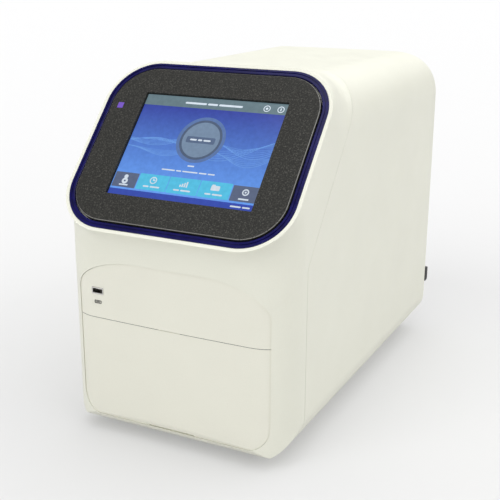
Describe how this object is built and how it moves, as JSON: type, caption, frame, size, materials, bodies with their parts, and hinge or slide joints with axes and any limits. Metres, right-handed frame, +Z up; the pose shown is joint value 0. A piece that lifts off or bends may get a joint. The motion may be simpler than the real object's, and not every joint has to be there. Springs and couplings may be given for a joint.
{
  "type": "real-time pcr system",
  "caption": "Benchtop real-time PCR instrument with a tilted touch display, a motorised sample drawer, a heated cover and filter-wheel optics in a rounded light housing.",
  "frame": {"origin": "centre of the footprint of the whole instrument, on the surface it stands on", "axes": "+X to the right as seen from the front, +Y from the display and drawer to the rear, +Z up"},
  "size_m": [0.2724, 0.51, 0.4],
  "materials": {
    "body_plastic": "warm off-white moulded plastic, finely textured",
    "drawer_plastic": "slightly creamier off-white moulded plastic",
    "deck_plastic": "mid grey moulded plastic",
    "bezel": "dark grey plastic, speckle textured",
    "accent": "glossy dark navy plastic",
    "screen_glass": "clear touch glass",
    "display": "lit display surface in a metal frame",
    "light": "lit purple light guide",
    "sheet_metal": "zinc plated sheet steel",
    "panel_metal": "off-white powder coat",
    "rail_steel": "cold rolled steel",
    "shaft_steel": "ground steel",
    "aluminium": "milled and extruded aluminium",
    "block_metal": "plated aluminium block",
    "lamp_metal": "dark anodised aluminium",
    "black_metal": "black anodised aluminium",
    "motor_metal": "black laminations with bare end bells",
    "board": "green circuit board",
    "ceramic": "white ceramic",
    "nut_plastic": "natural acetal",
    "fan_plastic": "black plastic",
    "guard_wire": "plated wire",
    "socket_metal": "plated shell",
    "socket_plastic": "black plastic",
    "optics_glass": "coated optical glass",
    "filter_glass": "coloured interference glass",
    "mirror": "front surface mirror",
    "rubber": "dark rubber"
  },
  "bodies": {
    "chassis": {"front_cover": "body_plastic", "main_cover": "body_plastic", "rear_panel": "panel_metal", "front_panel": "drawer_plastic", "accent_ring": "accent", "display_bezel": "bezel", "touch_glass": "screen_glass", "lcd_panel": "display", "display_bracket": "sheet_metal", "display_board": "board", "status_light": "light", "front_socket": "socket_metal", "base_pan": "sheet_metal", "feet": "rubber", "side_frame_left": "sheet_metal", "side_frame_right": "sheet_metal", "optics_deck": "sheet_metal", "outer_slides": "rail_steel", "drive_bearings": "aluminium", "drive_motor": "motor_metal", "guide_posts": "shaft_steel", "lift_motor": "motor_metal", "field_lens": "optics_glass", "optics_chassis": "black_metal", "fold_mirror": "mirror", "beam_splitter": "optics_glass", "filter_bridges": "black_metal", "filter_motors": "motor_metal", "led_lamp": "lamp_metal", "camera": "lamp_metal", "main_board": "board", "power_supply": "sheet_metal", "exhaust_fan_frames": "fan_plastic", "fan_guards": "guard_wire", "power_inlet": "socket_plastic", "switch_housing": "socket_plastic", "rear_ports": "socket_metal", "rear_bumpers": "rubber"},
    "drawer": {"drawer_front": "drawer_plastic", "drawer_tray": "sheet_metal", "drawer_deck": "deck_plastic", "heat_sink": "aluminium", "peltier_modules": "ceramic", "sample_block": "block_metal", "block_fan_frame": "fan_plastic", "drive_nut": "nut_plastic", "inner_slides": "rail_steel"},
    "slide_middles": {"middle_slides": "rail_steel"},
    "block_fan": {"block_fan_rotor": "fan_plastic"},
    "drive_shaft": {"drive_screw": "shaft_steel"},
    "cover_press_unit": {"heated_plate": "block_metal", "cover_carrier": "aluminium"},
    "lift_shaft": {"lift_screw": "shaft_steel"},
    "excitation_carousel": {"excitation_wheel": "black_metal", "excitation_filters": "filter_glass"},
    "emission_carousel": {"emission_wheel": "black_metal", "emission_filters": "filter_glass"},
    "exhaust_fan_left": {"exhaust_fan_rotor_left": "fan_plastic"},
    "exhaust_fan_right": {"exhaust_fan_rotor_right": "fan_plastic"},
    "mains_rocker": {"power_rocker": "socket_plastic"}
  },
  "joints": [
    {"name": "drawer_slide", "type": "slide", "parent": "chassis", "child": "drawer", "axis": [0, -1, 0], "range_m": [0, 0.2]},
    {"name": "slide_middle_travel", "type": "slide", "parent": "chassis", "child": "slide_middles", "axis": [0, -1, 0], "range_m": [0, 0.1]},
    {"name": "drive_screw_turn", "type": "hinge", "parent": "chassis", "child": "drive_shaft", "pos_m": [0, -0.1, 0.0315], "axis": [0, 1, 0], "range_deg": [0, 3600]},
    {"name": "cover_press", "type": "slide", "parent": "chassis", "child": "cover_press_unit", "axis": [0, 0, -1], "range_m": [0, 0.012]},
    {"name": "lift_screw_turn", "type": "hinge", "parent": "chassis", "child": "lift_shaft", "pos_m": [0.0886, -0.115, 0.16], "axis": [0, 0, 1], "range_deg": [0, 540]},
    {"name": "block_fan_spin", "type": "hinge", "parent": "drawer", "child": "block_fan", "pos_m": [0, -0.04, 0.082], "axis": [0, 1, 0], "continuous": true},
    {"name": "excitation_wheel_turn", "type": "hinge", "parent": "chassis", "child": "excitation_carousel", "pos_m": [0.028, -0.005, 0.308], "axis": [0, 0, 1], "continuous": true},
    {"name": "emission_wheel_turn", "type": "hinge", "parent": "chassis", "child": "emission_carousel", "pos_m": [0.028, 0.077, 0.244], "axis": [0, 1, 0], "continuous": true},
    {"name": "exhaust_fan_left_spin", "type": "hinge", "parent": "chassis", "child": "exhaust_fan_left", "pos_m": [-0.05, 0.213, 0.29], "axis": [0, 1, 0], "continuous": true},
    {"name": "exhaust_fan_right_spin", "type": "hinge", "parent": "chassis", "child": "exhaust_fan_right", "pos_m": [0.05, 0.213, 0.29], "axis": [0, 1, 0], "continuous": true},
    {"name": "mains_rocker_tilt", "type": "hinge", "parent": "chassis", "child": "mains_rocker", "pos_m": [0.085, 0.225, 0.104], "axis": [-1, 0, 0], "range_deg": [0, 20]}
  ],
  "couplings": [
    {"joint": "slide_middle_travel", "follows": "drawer_slide", "ratio": 0.5},
    {"joint": "drive_screw_turn", "follows": "drawer_slide", "rad_per_m": 314.16},
    {"joint": "lift_screw_turn", "follows": "cover_press", "rad_per_m": 785.4}
  ]
}
